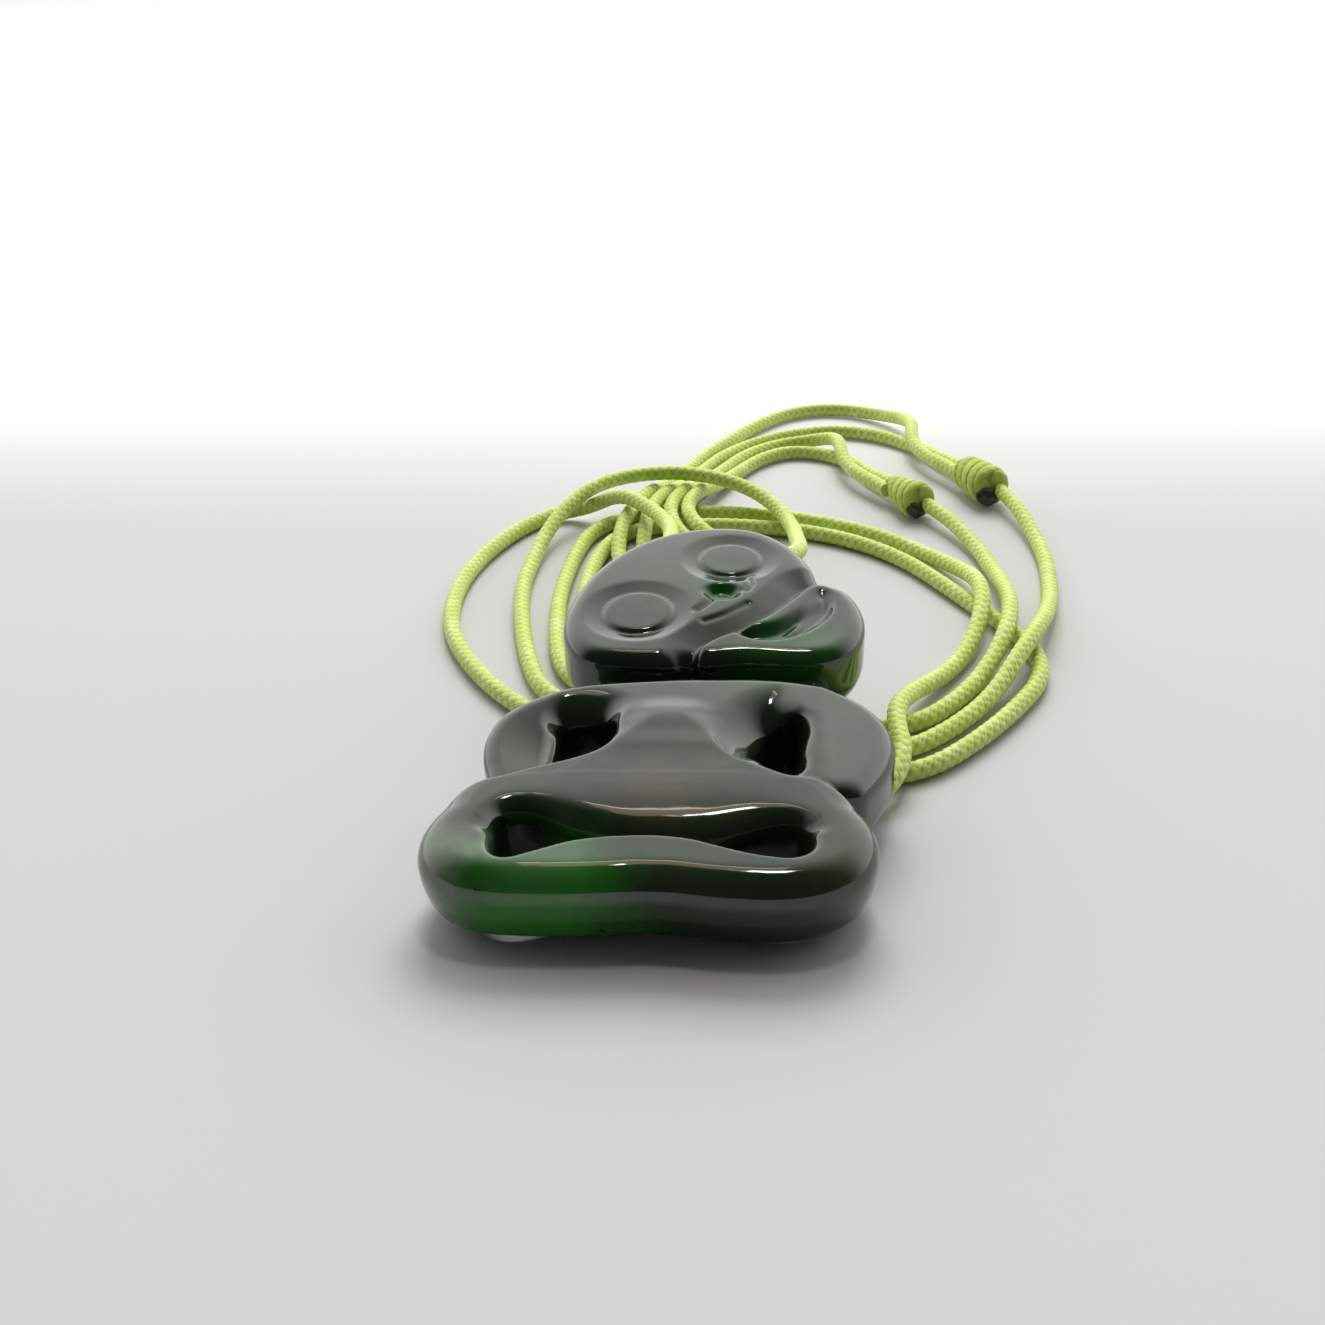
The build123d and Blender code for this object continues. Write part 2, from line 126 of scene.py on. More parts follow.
# %% Cord routes
RIGHT_ROUTE = [
    (5.89, 25.39, 10.9), (8.03, 25.39, 10.9), (10.4, 27.4, 11.15), (12.3, 30.4, 11.5),
    (13.4, 34.4, 10.6), (13.7, 40.4, 8.8), (13.6, 47.6, 6.8), (13.7, 54.8, 4.8),
    (13.3, 61.6, 3.4), (11.8, 67.0, 3.6), (8.6, 71.8, 4.4), (3.8, 75.2, 5.1),
    (-2.4, 77.2, 5.3), (-8.6, 76.6, 5.1), (-13.6, 72.8, 5.0), (-17.0, 67.8, 4.0),
    (-19.2, 62.0, 2.6), (-20.3, 56.0, 1.4), (-20.9, 48.2, 1.05), (-20.4, 40.2, 1.05),
    (-19.2, 32.4, 1.05), (-17.6, 24.6, 1.05), (-15.4, 17.4, 1.05), (-10.8, 12.2, 1.05),
    (-3.8, 9.0, 1.05), (4.2, 5.6, 1.05), (12.4, 1.0, 1.05), (19.2, -1.8, 1.05),
    (25.4, 0.2, 1.05), (31.0, 6.2, 1.05), (36.0, 13.2, 1.05), (39.8, 20.0, 1.05),
    (40.4, 26.8, 1.05), (38.2, 33.6, 1.05), (34.8, 40.4, 1.05), (31.6, 47.4, 1.05),
    (28.0, 54.4, 1.05), (22.8, 60.4, 1.05), (16.6, 64.4, 1.05), (9.4, 66.6, 1.05),
    (2.2, 67.4, 1.05), (-5.0, 66.8, 1.05), (-10.0, 63.4, 1.05), (-11.9, 57.2, 1.05),
    (-12.7, 50.0, 1.05), (-12.9, 42.4, 1.05), (-12.2, 34.8, 1.05), (-11.0, 27.6, 1.05),
    (-7.0, 21.8, 1.05), (-0.6, 17.8, 1.05), (6.4, 14.4, 1.05), (13.0, 10.8, 1.05),
    (19.2, 8.4, 1.05), (25.0, 9.6, 1.05), (29.8, 14.8, 1.05), (33.8, 21.2, 1.5),
    (37.0, 28.0, 3.2), (38.6, 35.6, 3.3), (38.9, 43.4, 2.2), (38.7, 51.0, 1.2),
    (37.7, 58.4, 1.3), (35.4, 65.6, 2.0), (32.5, 71.4, 2.45), (28.9, 79.2, 2.45),
    (26.0, 85.6, 1.7), (24.0, 92.2, 1.05), (19.8, 97.2, 1.05), (14.2, 98.7, 1.05),
    (9.6, 94.8, 1.05), (6.2, 88.6, 1.05), (3.6, 82.0, 1.6), (0.8, 75.2, 3.3),
    (-1.0, 68.2, 3.3), (0.9, 61.8, 2.9), (5.6, 57.4, 1.1), (8.4, 51.4, 1.05),
    (5.0, 45.6, 1.05), (-1.6, 44.0, 1.05), (-7.4, 47.8, 1.05), (-9.4, 54.2, 1.4),
    (-9.4, 60.4, 3.0), (-8.5, 67.0, 3.3), (-6.5, 74.0, 3.3), (-3.9, 81.6, 1.8),
    (-1.7, 88.6, 1.05), (1.1, 96.2, 1.05), (5.2, 104.2, 1.05), (9.6, 112.0, 1.05),
    (15.0, 118.6, 1.05), (22.4, 120.6, 1.05), (28.6, 117.2, 1.2), (32.6, 111.6, 2.2),
    (33.7, 105.6, 3.3), (33.0, 100.2, 3.3), (33.3, 95.2, 2.7), (34.8, 90.7, 2.5),
    (36.9, 86.7, 2.7), (38.6, 82.6, 2.7),
]
LEFT_ROUTE = [
    (5.89, 25.39, 10.9), (3.9, 25.39, 10.9), (0.84, 27.29, 11.13), (-1.3, 30.56, 11.54),
    (-2.0, 35.0, 10.4), (-1.9, 42.0, 8.8), (-2.0, 49.0, 7.2), (-3.0, 56.0, 6.0),
    (-6.0, 62.6, 5.7), (-9.8, 67.6, 5.6), (-14.6, 72.0, 1.9), (-19.4, 71.8, 1.05),
    (-22.8, 67.6, 1.05), (-25.6, 61.6, 1.05), (-27.8, 54.6, 1.05), (-28.9, 47.0, 1.05),
    (-28.9, 39.4, 1.05), (-27.6, 31.8, 1.05), (-24.6, 24.4, 1.05), (-20.4, 17.2, 1.05),
    (-14.8, 10.6, 1.05), (-7.8, 5.2, 1.05), (0.4, 0.8, 1.05), (8.6, -3.4, 1.05),
    (14.8, -6.9, 1.05), (19.0, -7.0, 1.4), (21.7, -4.0, 2.7), (22.7, 0.4, 3.45),
    (22.4, 4.6, 3.4), (22.8, 9.6, 3.4), (25.4, 15.2, 2.2), (29.6, 21.4, 1.05),
    (33.2, 28.4, 1.4), (35.4, 35.6, 3.2), (35.8, 42.8, 3.3), (34.2, 49.8, 1.9),
    (31.0, 56.4, 1.05), (26.2, 62.4, 1.05), (20.0, 67.0, 1.05), (13.0, 70.2, 1.05),
    (5.6, 72.0, 1.05), (-2.0, 72.2, 1.05), (-9.2, 70.6, 1.05), (-13.6, 65.2, 1.05),
    (-15.0, 57.8, 1.05), (-15.6, 50.0, 1.05), (-15.8, 42.0, 1.05), (-15.3, 34.2, 1.05),
    (-14.5, 26.6, 1.05), (-12.4, 19.6, 1.05), (-6.0, 15.0, 1.05), (1.8, 11.4, 1.05),
    (9.6, 7.6, 1.05), (17.0, 3.8, 1.05), (23.4, 3.8, 1.05), (28.8, 8.8, 1.05),
    (33.8, 15.4, 1.4), (37.6, 22.4, 3.2), (41.0, 29.6, 3.3), (43.4, 37.2, 2.0),
    (45.0, 45.2, 1.05), (46.0, 53.4, 1.05), (46.0, 61.6, 1.2), (44.9, 69.6, 2.3),
    (43.4, 76.0, 2.7), (40.0, 85.0, 2.7), (37.2, 92.2, 1.8), (34.4, 99.4, 1.05),
    (29.4, 105.8, 1.05), (22.4, 109.0, 1.05), (15.0, 107.0, 1.05), (8.4, 102.2, 1.05),
    (3.6, 95.6, 1.05), (0.6, 88.4, 1.05), (-1.5, 81.0, 1.8), (-4.2, 74.0, 3.3),
    (-5.8, 67.2, 3.3), (-6.2, 60.8, 2.9), (-6.2, 55.2, 1.4), (-4.2, 50.0, 1.05),
    (0.2, 47.8, 1.05), (4.0, 51.2, 1.05), (2.2, 56.6, 1.1), (-1.9, 61.2, 2.6),
    (-3.3, 67.8, 3.3), (-1.6, 75.0, 3.3), (1.2, 82.2, 1.6), (3.9, 89.2, 1.05),
    (7.2, 96.4, 1.05), (12.4, 101.6, 1.05), (17.8, 102.2, 1.6), (20.9, 99.6, 2.9),
    (21.8, 95.6, 3.4), (21.8, 91.4, 3.2), (22.5, 87.4, 2.6), (23.9, 83.8, 2.45),
    (25.8, 80.5, 2.45), (27.5, 77.2, 2.45),
]
cord_diameter = 2.0
print("control points", len(RIGHT_ROUTE), len(LEFT_ROUTE))

# %% [markdown]
# From control points to a smooth line
#
# Blender draws the NURBS line through a curve object. Its points are read back as a mesh and
# spaced evenly, so that the braid's rings can stand on them.

# %% Smooth line of a route
def smooth_line(name, points, spacing):
    """Evenly spaced points along the NURBS line of these control points, in metres."""
    data = bpy.data.curves.new(name, "CURVE")
    data.dimensions = "3D"
    data.resolution_u = 24
    spline = data.splines.new("NURBS")
    spline.points.add(len(points) - 1)
    for point, place in zip(spline.points, points):
        point.co = (*(value * mm for value in place), 1.0)
    spline.order_u = 3
    spline.use_endpoint_u = True
    curve = bpy.data.objects.new(name, data)
    bpy.context.scene.collection.objects.link(curve)
    bpy.context.view_layer.update()
    line = bpy.data.meshes.new_from_object(curve)
    read = np.array([vertex.co for vertex in line.vertices])
    bpy.data.objects.remove(curve)
    bpy.data.curves.remove(data)
    bpy.data.meshes.remove(line)
    steps = np.linalg.norm(np.diff(read, axis=0), axis=1)
    along = np.concatenate([[0.0], np.cumsum(steps)])
    count = int(round(along[-1] / spacing)) + 1
    wanted = np.linspace(0.0, along[-1], count)
    return np.stack([np.interp(wanted, along, read[:, k]) for k in range(3)], 1)


def line_length(line):
    """The length of a row of points."""
    return float(np.linalg.norm(np.diff(line, axis=0), axis=1).sum())


ring_step = 0.25 * mm
right_line = smooth_line("right_route", RIGHT_ROUTE, ring_step)
left_line = smooth_line("left_route", LEFT_ROUTE, ring_step)
print("cord halves", round(line_length(right_line), 4), round(line_length(left_line), 4), "m")

# %% [markdown]
# The braid
#
# The real cord is braided from eight strands, four each way, so that its surface is a lattice
# of small plaits. Rings of points follow the line, and each point stands out or in by the
# plait that it lies on. The same height is kept as an attribute, which paints shade into the
# grooves.

# %% Braided tube
# lengths are in millimetres, and the start is a share of one plait
plaits_around, plait_length, plait_start = 4, 1.25, 0.13
braid_depth, braid_rise = 0.12, 0.02
cord_sides = 24


def carried_frames(line):
    """A side and an up direction for each point, carried along the line without a twist."""
    ahead = np.gradient(line, axis=0)
    ahead /= np.linalg.norm(ahead, axis=1)[:, None]
    side = np.cross(ahead[0], (0.0, 0.0, 1.0))
    sides = []
    for direction in ahead:
        side = side - direction * (side @ direction)
        side = side / np.linalg.norm(side)
        sides.append(side)
    sides = np.array(sides)
    return sides, np.cross(sides, ahead)


def plait_height(around, along):
    """Height from 0 to 1 of a braid's plaits; both inputs count plaits."""
    first, second = around + along, around - along
    on_top = (np.floor(first) + np.floor(second)) % 2 < 1
    across = np.where(on_top, first, second) % 1.0
    lengthwise = np.where(on_top, second, first) % 1.0
    ridge = np.sqrt(np.clip(1 - (2 * across - 1) ** 2, 0, 1))
    rise = 1 - (2 * lengthwise - 1) ** 4
    low_end = 0.45
    return ridge * (low_end + (1 - low_end) * rise)


def keep_attribute(piece, name, values):
    """Writes one number for each point of the piece."""
    layer = piece.data.attributes.new(name, "FLOAT", "POINT")
    layer.data.foreach_set("value", values.astype(np.float32).ravel())


def braided_tube(name, line):
    """A round cord of plaits along the line."""
    side, up = carried_frames(line)
    angle = np.linspace(0, 2 * math.pi, cord_sides, endpoint=False)
    along = np.arange(len(line))[:, None] * ring_step / mm
    around = plaits_around * angle[None] / (2 * math.pi) + plait_start
    height = plait_height(around, along / plait_length)
    radius = (cord_diameter / 2 + braid_rise - braid_depth * (1 - height)) * mm
    ring = (
        np.cos(angle)[None, :, None] * side[:, None] + np.sin(angle)[None, :, None] * up[:, None]
    )
    piece = mesh_from_rings(name, line[:, None] + radius[..., None] * ring)
    # the same height darkens the thread colour in the grooves: painted shade
    keep_attribute(piece, "braid", height)
    return piece


cord_right = braided_tube("cord_right_braid", right_line)
cord_left = braided_tube("cord_left_braid", left_line)
print("faces", len(cord_right.data.polygons), len(cord_left.data.polygons))

# %% [markdown]
# The two sliding knots
#
# At its end each half is wound round itself and the other half, and the cut end is melted to a
# dark tip. The wound turns are one skin of rings whose points stand out where a strand lies, so
# they meet without gaps; separate coils would show slits between them.

# %% Wound knots
# three strands lie side by side in each turn and show 4.5 ridges from end to end; the depths of
# the grooves and of the braid on a strand are in millimetres, and the end is a share of the width
knot_rings, knot_sides = 97, 64
knot_end = 0.30
strands_beside, strands_along = 3, 4.5
strand_groove, strand_braid = 0.20, 0.09


def wound_knot(name, middle, ahead, length, wide, narrow):
    """Wound strands between two rounded ends; narrow gives each end's share of the width."""
    ahead = np.array([*ahead, 0.0]) / np.hypot(*ahead)
    side = np.array([ahead[1], -ahead[0], 0.0])
    share = np.linspace(-1, 1, knot_rings)[:, None]
    angle = np.linspace(0, 2 * math.pi, knot_sides, endpoint=False)[None]
    start, stop = narrow
    waist = start + (stop - start) * smooth_step(share, -0.9, 0.95)
    shoulder = np.clip(1 - np.abs(share) ** 7, 0, 1) ** 0.42
    radius = wide / 2 * (knot_end + (1 - knot_end) * shoulder) * waist
    lay = strands_along * (share + 1) / 2 + strands_beside * angle / (2 * math.pi)
    ridge = np.sqrt(np.clip(1 - (2 * (lay % 1.0) - 1) ** 2, 0, 1))
    plait = plait_height(lay * 1.6, angle * wide / 2 / plait_length + 0.5 * lay)
    radius = radius - strand_groove * (1 - ridge) * shoulder - strand_braid * (1 - plait)
    place = np.array(middle) + share[..., None] * length / 2 * ahead
    rings = place + radius[..., None] * (
        np.cos(angle)[..., None] * side + np.sin(angle)[..., None] * np.array([0.0, 0.0, 1.0])
    )
    piece = mesh_from_rings(name, rings * mm)
    # the braid attribute is low between turns and strands, where the thread colour paints shade
    keep_attribute(piece, "braid", np.clip(0.25 + 0.75 * ridge, 0, 1) * (0.6 + 0.4 * plait))
    return piece


def burnt_tip(name, place, ahead, size):
    """The melted end of a cord: a lump with a few soft dents."""
    bpy.ops.mesh.primitive_uv_sphere_add(segments=40, ring_count=24, radius=1.0)
    lump = bpy.context.object
    lump.name = name
    turn = math.atan2(ahead[1], ahead[0]) - math.pi / 2
    for vertex in lump.data.vertices:
        x, y, z = vertex.co
        dent = 1 + 0.10 * math.sin(5 * x + 2 * z) * math.cos(4 * y - 3 * z + 1)
        x, y, z = x * size[0] * dent, y * size[1] * dent, z * size[2] * dent
        vertex.co = (
            (place[0] + x * math.cos(turn) - y * math.sin(turn)) * mm,
            (place[1] + x * math.sin(turn) + y * math.cos(turn)) * mm,
            (place[2] + z) * mm,
        )
    bpy.ops.object.shade_smooth()
    return lump


outer_ahead, inner_ahead = (-0.3534, 0.9355), (-0.4191, 0.908)
outer_knot = wound_knot(
    "outer_knot_wraps", (40.8, 80.2, 2.95), outer_ahead, 8.8, 6.0, (1.0, 0.84)
)
inner_knot = wound_knot(
    "inner_knot_wraps", (29.9, 75.3, 2.7), inner_ahead, 8.8, 5.5, (1.0, 0.58)
)
outer_tip = burnt_tip("outer_knot_tip", (41.6, 76.1, 2.0), outer_ahead, (1.9, 1.2, 1.45))
inner_tip = burnt_tip("inner_knot_tip", (31.0, 71.4, 1.8), inner_ahead, (1.5, 1.2, 1.25))
for piece, node in (
    (outer_knot, "slide_knot_outer"), (outer_tip, "slide_knot_outer"),
    (inner_knot, "slide_knot_inner"), (inner_tip, "slide_knot_inner"),
):
    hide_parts(node)
    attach(piece, "root")
print("knots", len(outer_knot.data.polygons), len(outer_tip.data.polygons))

# %% [markdown]
# Where each half belongs
#
# The braided halves stand for the plain tubes of the measured model.

for piece, node, line, mouth, at_end in (
    (cord_right, "cord_right", right_line, RIGHT_ROUTE[3], [outer_knot, outer_tip]),
    (cord_left, "cord_left", left_line, LEFT_ROUTE[3], [inner_knot, inner_tip]),
):
    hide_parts(node)
    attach(piece, "root")

# %% [markdown]
# The carved stone
#
# The figure is cut from one piece of greenstone and polished until every form runs into the
# next. It could be modelled from blocks with bevels and booleans, but the gloss would show each
# joint between them. Here the surface is worked out as a carver would think of it: outlines
# that are joined with fillets and cut with edges of changing roundness. Then one skin is laid
# over it. The outlines are in millimetres in the figure's own plane: across it, along it from
# the legs to the crown, and up from its back.

# %% Outlines of the stone's forms, as corner polygons of smooth closed lines
LEGS = [
    (6.9, 0.0), (13.4, 0.0), (17.7, 2.2), (19.7, 5.6), (19.7, 9.4), (17.3, 13.1),
    (12.2, 15.6), (-12.2, 15.6), (-17.3, 13.1), (-19.7, 9.0), (-19.7, 5.0), (-17.3, 1.9),
    (-13.4, 0.5), (-4.9, 0.5), (1.2, 1.1),
]
TRUNK = [
    (-9.1, 6.4), (10.0, 6.0), (16.0, 9.5), (15.4, 13.4), (10.4, 15.9), (6.9, 18.1),
    (5.3, 20.7), (5.3, 23.2), (4.4, 27.0), (-1.6, 27.0), (-2.6, 24.2), (-2.6, 21.6),
    (-4.3, 19.1), (-7.7, 17.2), (-12.2, 15.6), (-16.0, 13.0), (-16.0, 8.9),
]
SHOULDERS = [
    (-10.7, 12.0), (17.6, 12.2), (20.7, 17.0), (22.4, 21.6), (22.4, 25.3), (20.3, 28.5),
    (14.7, 30.9), (7.5, 31.9), (0.5, 31.9), (-6.4, 30.9), (-11.4, 28.8), (-14.8, 25.8),
    (-15.9, 22.4), (-15.8, 19.4), (-14.9, 16.4), (-14.4, 12.6),
]
HEAD = [
    (-9.2, 36.6), (-7.0, 34.4), (-3.0, 34.0), (0.8, 33.8), (2.6, 35.4), (4.2, 33.8),
    (7.6, 34.7), (12.0, 34.3), (16.4, 34.3), (19.4, 36.6), (20.7, 40.4), (20.7, 44.4),
    (19.4, 47.8), (17.1, 48.9), (16.2, 50.6), (15.5, 53.6), (13.8, 57.4), (10.6, 60.8),
    (7.0, 61.9), (3.0, 61.6), (-1.0, 60.2), (-5.4, 56.4), (-8.6, 51.0), (-10.3, 45.0),
    (-10.4, 40.4),
]
SLOT = [
    (-13.4, 5.0), (-11.8, 3.5), (-9.2, 4.6), (-6.1, 6.1), (-1.5, 6.7), (3.2, 6.5),
    (6.6, 5.1), (9.6, 4.1), (12.2, 3.8), (14.0, 5.2), (14.0, 7.6), (12.2, 9.4),
    (8.8, 8.8), (5.6, 7.4), (1.5, 7.2), (-2.6, 7.3), (-6.5, 8.8), (-9.8, 10.6),
    (-12.6, 10.7), (-13.4, 8.2),
]
LEFT_HOLE = [
    (-3.9, 25.4), (-3.3, 22.5), (-4.3, 19.8), (-6.3, 17.9), (-8.6, 15.4), (-9.6, 17.0),
    (-9.2, 19.4), (-9.2, 22.0), (-9.9, 24.4), (-8.8, 26.0), (-6.2, 26.2),
]
RIGHT_HOLE = [
    (8.3, 20.2), (8.9, 17.8), (10.6, 16.2), (12.8, 15.0), (13.9, 16.8), (13.7, 19.4),
    (14.5, 22.4), (14.0, 25.2), (12.0, 26.0), (10.0, 24.9), (8.9, 22.8),
]


def closed_line(corners, steps=9):
    """A smooth closed line that touches the middle of each side of this corner polygon."""
    corner = np.array(corners, float)
    after = np.roll(corner, -1, axis=0)
    start, stop = (corner + after) / 2, (after + np.roll(corner, -2, axis=0)) / 2
    t = np.linspace(0, 1, steps, endpoint=False)[None, :, None]
    line = (1 - t) ** 2 * start[:, None] + 2 * t * (1 - t) * after[:, None] + t**2 * stop[:, None]
    return line.reshape(-1, 2)


chart_step = 0.2
chart_x = np.arange(-23.0, 26.0, chart_step)
chart_y = np.arange(-4.0, 67.0, chart_step)
CHART_X, CHART_Y = np.meshgrid(chart_x, chart_y)
very_far = 1e9


def square_from(x, y, start, stop):
    """The squared distance of these places from the straight run between two points."""
    run_x, run_y = stop - start
    off_x, off_y = x - start[0], y - start[1]
    share = np.clip((off_x * run_x + off_y * run_y) / (run_x**2 + run_y**2), 0, 1)
    return (off_x - share * run_x) ** 2 + (off_y - share * run_y) ** 2


def distance_chart(corners):
    """For each place of the chart, its distance from a closed line, negative inside it."""
    line = closed_line(corners)
    nearest = np.full(CHART_X.shape, very_far)
    inside = np.zeros(CHART_X.shape, bool)
    for start, stop in zip(line, np.roll(line, -1, axis=0)):
        nearest = np.minimum(nearest, square_from(CHART_X, CHART_Y, start, stop))
        (ax, ay), (bx, by) = start, stop
        if ay != by:
            crossing = ax + (CHART_Y - ay) / (by - ay) * (bx - ax)
            inside ^= ((ay > CHART_Y) != (by > CHART_Y)) & (CHART_X < crossing)
    return np.where(inside, -1, 1) * np.sqrt(nearest)


def line_distance(points):
    """Distance of each place of the chart from an open line, negative on its right side."""
    nearest = np.full(CHART_X.shape, very_far)
    side = np.ones(CHART_X.shape)
    for start, stop in zip(points[:-1], points[1:]):
        reach = square_from(CHART_X, CHART_Y, start, stop)
        closer = reach < nearest
        nearest = np.where(closer, reach, nearest)
        run_x, run_y = stop - start
        turn = run_x * (CHART_Y - start[1]) - run_y * (CHART_X - start[0])
        side = np.where(closer, np.sign(turn), side)
    return np.sqrt(nearest) * side


def softened(chart):
    """The chart with its creases blurred outside the line, and kept on and inside it."""
    rounds = 30
    soft = chart
    for turn in range(rounds):
        pad = np.pad(soft, 1, mode="edge")
        soft = (pad[:-2, 1:-1] + pad[2:, 1:-1] + pad[1:-1, :-2] + pad[1:-1, 2:]) / 4
    share = smooth_step(chart, 0.3, 1.6)
    return chart + share * (soft - chart)


# %% [markdown]
# Heights and edges
#
# A polished edge is a small round. Where the hips meet the arms it is nearly sharp; where the
# belly falls into the slot, and the chest into the arm holes, it is several millimetres wide.
# So the radius of each edge is a chart too, and so is the height of the top. Each step below
# runs between two places across the figure or along it, in millimetres.

# %% Charts of the body
stone_thick = 8.6
toward_crown = CHART_Y
chest_start, chest_length = 25.2, 9

# the leg bar has a wide round in front and hardly any at the hips, and is drawn in below
leg_edge = 2.9 - 2.5 * smooth_step(toward_crown, 10.5, 14.5)
leg_tuck = 0.046 * (1 - smooth_step(toward_crown, 4.0, 11.0))

# the slot's edge is crisp on the bar's side, soft at its ends and widest on the belly's side
belly_side = smooth_step(toward_crown, 6.7, 7.9)
belly_middle = 1 - smooth_step(np.abs(CHART_X - 0.5), 4.0, 11.0)
slot_end = smooth_step(np.abs(CHART_X - 0.3), 10.0, 15.0)
near_edge = 0.45 + 0.9 * slot_end
slot_edge = near_edge + belly_side * (2.4 + 0.6 * belly_middle - near_edge)

# the top slopes down to the slot, has a low ridge at the waist and dips at the chest
belly_slope = 0.55 * np.clip((13.6 - toward_crown) / 4.4, 0, 1.5) ** 2 * belly_side
belly_slope = belly_slope * (1 - smooth_step(np.abs(CHART_X - 0.5), 8.0, 13.0))
across_waist = np.exp(-(((CHART_X - 1.4) / 7.0) ** 4))
waist_ridge = 0.16 * np.exp(-(((toward_crown - 20.2) / 1.5) ** 2)) * across_waist
before_chest = np.clip(chest_start - toward_crown, 0, 20)
chest_dip = 0.22 * np.exp(-((before_chest / 3.4) ** 2)) * across_waist
chest_dip = chest_dip + 0.035 * np.clip(toward_crown - chest_start, 0, chest_length)
body_top = stone_thick - 0.12 + waist_ridge - chest_dip - belly_slope
trunk_edge = 0.4 + 2.6 * smooth_step(toward_crown, 20.5, 24.5)

# each arm's top is cut by a facet that falls to the right
left_facet = 8.1 - 0.25 * (CHART_X + 16.0)
right_facet = 8.2 - 0.27 * (CHART_X - 16.0)
left_reach = 1 - smooth_step(CHART_X, -10.8, -8.0)
left_reach = left_reach * (1 - smooth_step(toward_crown, 19.0, 30.0))
shoulder_top = body_top - 0.1
right_reach = smooth_step(CHART_X, 14.5, 16.5)
arm_top = shoulder_top - left_reach * np.maximum(shoulder_top - left_facet, 0)
arm_top = arm_top - right_reach * np.maximum(shoulder_top - right_facet, 0)

# an arm hole's edge is narrow on the arm's side and wide where the chest falls into it
far_left = (toward_crown - 22.0) - 0.3 * (CHART_X + 6.5)
far_right = 0.6 * (toward_crown - 20.5) - 1.2 * (CHART_X - 9.9)
hole_edge = np.where(
    CHART_X < 1.4,
    0.7 + 3.0 * smooth_step(far_left, 0.5, 5.0) * smooth_step(CHART_X, -12.5, -8.5),
    0.7 + 3.8 * smooth_step(far_right, -1.5, 3.5),
)

# the back's round edge is wider under the head
under_edge = 2.4 + 1.2 * smooth_step(toward_crown, 33.0, 36.0)
print("charts of the body", CHART_X.shape)

# %% [markdown]
# The face
#
# Each eye is a low disc in a channel that is deepest round the disc and rises outwards to the
# face. A groove curls down from the right cheek to the chin and sets off the lip, with the
# mouth hollow and its tongue beside it. A small pit stands for the nose, and three short
# creases lie near it. The table gives each eye's place, its ring's radius and its disc's.

# %% Charts of the face
EYES = [(-2.6, 42.7, 5.8, 3.7), (6.8, 53.4, 5.4, 3.4)]
LIP = [
    (19.5, 49.5), (16.7, 49.1), (14.4, 48.0), (12.9, 45.8), (11.1, 43.3), (9.1, 41.2),
    (7.3, 39.7), (5.2, 38.3), (3.6, 36.7), (2.9, 34.9), (2.6, 32.4),
]
MOUTH = [
    (6.4, 39.9), (7.5, 38.0), (9.4, 37.0), (11.9, 37.0), (14.5, 38.3), (16.8, 40.7),
    (18.0, 43.8), (17.6, 46.8), (16.2, 47.5), (15.2, 46.4), (14.2, 43.6), (12.4, 41.5),
    (10.2, 40.0),
]
TONGUE = [
    (11.8, 38.3), (13.2, 41.0), (14.9, 44.8), (16.3, 46.2), (17.1, 44.8), (16.7, 41.6),
    (14.7, 39.2),
]
# each crease with its width and its depth
CREASES = [
    ([(4.2, 40.6), (6.4, 42.0), (8.8, 44.2)], 0.60, 0.42),
    ([(3.4, 42.6), (4.6, 44.2), (5.4, 45.8)], 0.55, 0.40),
    ([(9.0, 49.4), (9.1, 48.0), (8.5, 46.6)], 0.50, 0.50),
]


def round_line(points, steps=6):
    """A smooth open line along these points."""
    point = np.array(points, float)
    point = np.concatenate([2 * point[:1] - point[1:2], point, 2 * point[-1:] - point[-2:-1]])
    t = np.linspace(0, 1, steps, endpoint=False)[None, :, None]
    a, b, c, d = (point[i:len(point) - 3 + i, None] for i in range(4))
    line = 0.5 * (2 * b + (c - a) * t + (2 * a - 5 * b + 4 * c - d) * t**2
                  + (3 * b - a - 3 * c + d) * t**3)
    return np.concatenate([line.reshape(-1, 2), point[-2:-1]])


# how deep each place of the face is cut: the deepest of the cuts that meet there
lip_depth, mouth_depth, tongue_rise, nose_depth = 1.1, 1.15, 0.45, 0.95
disc_rise, dome_rise = 0.40, 0.35
carved = np.zeros(CHART_X.shape)
for across, along, ring, disc in EYES:
    away = np.hypot(CHART_X - across, CHART_Y - along)
    channel = np.clip((ring - away) / (ring - disc), 0, 1) ** 0.86
    raised = 1 - smooth_step(away, disc - 0.35, disc + 0.15)
    deeper = 0.50 + 0.08 * np.clip((along - CHART_Y) / disc, -1, 1)
    carved = np.maximum(carved, deeper * channel - disc_rise * raised)
lip_away = line_distance(round_line(LIP))
brow_side = np.clip(1 + lip_away / 2.9, 0, 1)
lip_side = 1 - smooth_step(lip_away, 0.0, 1.1)
carved = np.maximum(carved, lip_depth * np.where(lip_away < 0, brow_side, lip_side))
hollow = mouth_depth * smooth_step(-distance_chart(MOUTH), -0.1, 1.3)
hollow = hollow - tongue_rise * smooth_step(-distance_chart(TONGUE), -0.3, 0.8)
hollow = hollow * (1 - 0.55 * smooth_step(toward_crown, 42.5, 46.5))
carved = np.maximum(carved, hollow)
nose_away = np.hypot((CHART_X - 6.0) / 1.15, (CHART_Y - 46.2) / 0.9)
carved = np.maximum(carved, nose_depth * (1 - smooth_step(nose_away, 0.9, 2.0)))
for points, wide, deep in CREASES:
    crease_away = np.abs(line_distance(round_line(points)))
    carved = np.maximum(carved, deep * (1 - smooth_step(crease_away, 0.0, wide)))
